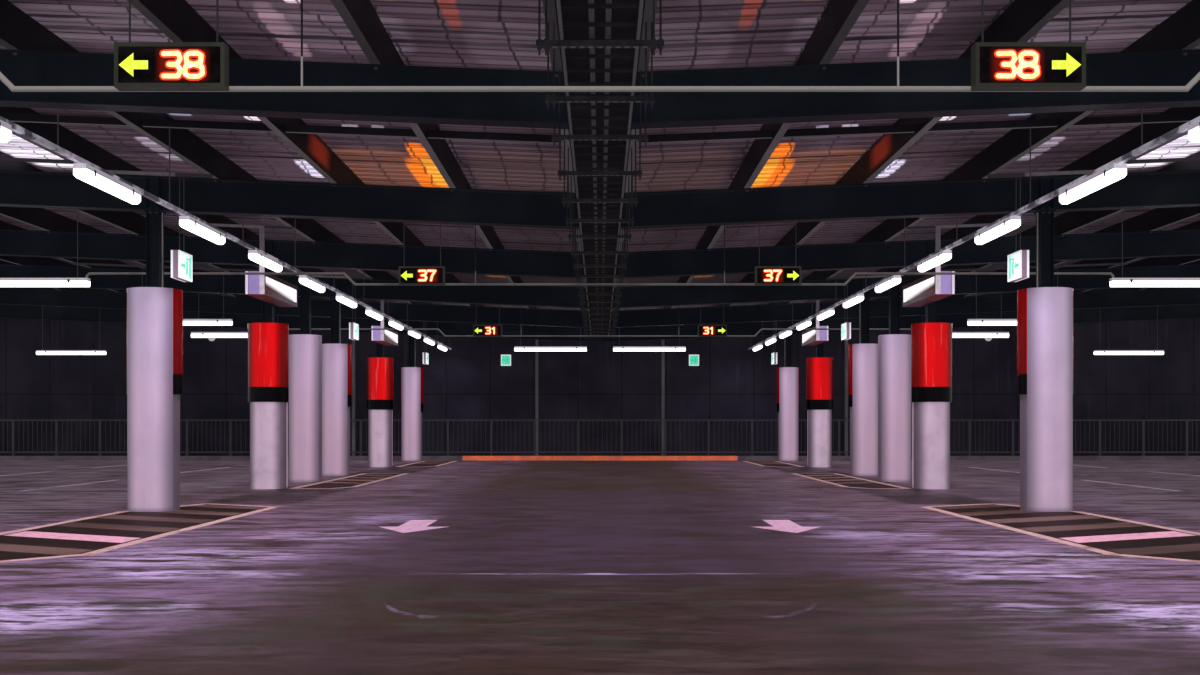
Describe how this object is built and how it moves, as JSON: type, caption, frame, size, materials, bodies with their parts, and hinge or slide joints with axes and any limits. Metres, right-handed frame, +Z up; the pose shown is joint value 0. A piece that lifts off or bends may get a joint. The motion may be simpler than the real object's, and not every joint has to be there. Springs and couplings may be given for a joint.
{
  "type": "multi storey car park storey",
  "caption": "One storey of a steel-framed car park: round column casings with red wraps, light beam and purlin roof, cable ladder, light rows and a railed closed end.",
  "frame": {"origin": "centre of the floor slab's underside", "axes": "+X across the aisle, +Y along the aisle towards the closed end, +Z up"},
  "size_m": [37.05, 31.2, 4.9012],
  "materials": {
    "concrete_floor": "sealed",
    "slate_paint": "satin",
    "casing_white": "white paint",
    "shell_white": "gloss",
    "wrap_red": "gloss",
    "band_black": "gloss",
    "purlin_grey": "satin",
    "roof_silver": "ribbed sheet",
    "galvanised": "galvanised",
    "fitting_white": "satin",
    "diffuser_glow": "opal",
    "sign_olive": "satin",
    "sign_black": "gloss",
    "exit_green": "lit face",
    "zone_lilac": "satin",
    "zone_wine": "gloss",
    "kerb_orange": "satin",
    "rail_pale": "satin",
    "wall_dark": "matte"
  },
  "bodies": {
    "root": {"floor_slab": "concrete_floor", "steel_columns_left_outer": "slate_paint", "steel_columns_left_inner": "slate_paint", "steel_columns_right_inner": "slate_paint", "steel_columns_right_outer": "slate_paint", "casings_left_outer": "casing_white", "casings_left_inner": "casing_white", "casings_right_inner": "casing_white", "casings_right_outer": "casing_white", "red_wraps": "wrap_red", "black_bands": "band_black", "white_shells": "shell_white", "main_beams_left": "slate_paint", "main_beams_right": "slate_paint", "purlins_left": "purlin_grey", "purlins_centre": "purlin_grey", "purlins_right": "purlin_grey", "bridging_bars": "purlin_grey", "roof_sheets_left": "roof_silver", "roof_sheets_centre": "roof_silver", "roof_sheets_right": "roof_silver", "valley_gutter": "roof_silver", "cable_ladder": "galvanised", "ladder_cover": "galvanised", "ladder_conduits": "galvanised", "ladder_hangers": "galvanised", "light_trunking": "fitting_white", "aisle_light_spines": "fitting_white", "aisle_light_diffusers": "diffuser_glow", "side_light_spines": "fitting_white", "side_light_diffusers": "diffuser_glow", "dome_detectors": "fitting_white", "light_conduits": "galvanised", "sign_cases": "sign_olive", "sign_faces": "sign_black", "sign_hangers": "galvanised", "exit_signs": "zone_lilac", "exit_faces": "exit_green", "zone_sign_boxes": "zone_lilac", "zone_faces": "zone_wine", "end_kerb": "kerb_orange", "guard_rail": "rail_pale", "end_wall_posts": "rail_pale", "end_wall_panels": "wall_dark"}
  },
  "joints": []
}
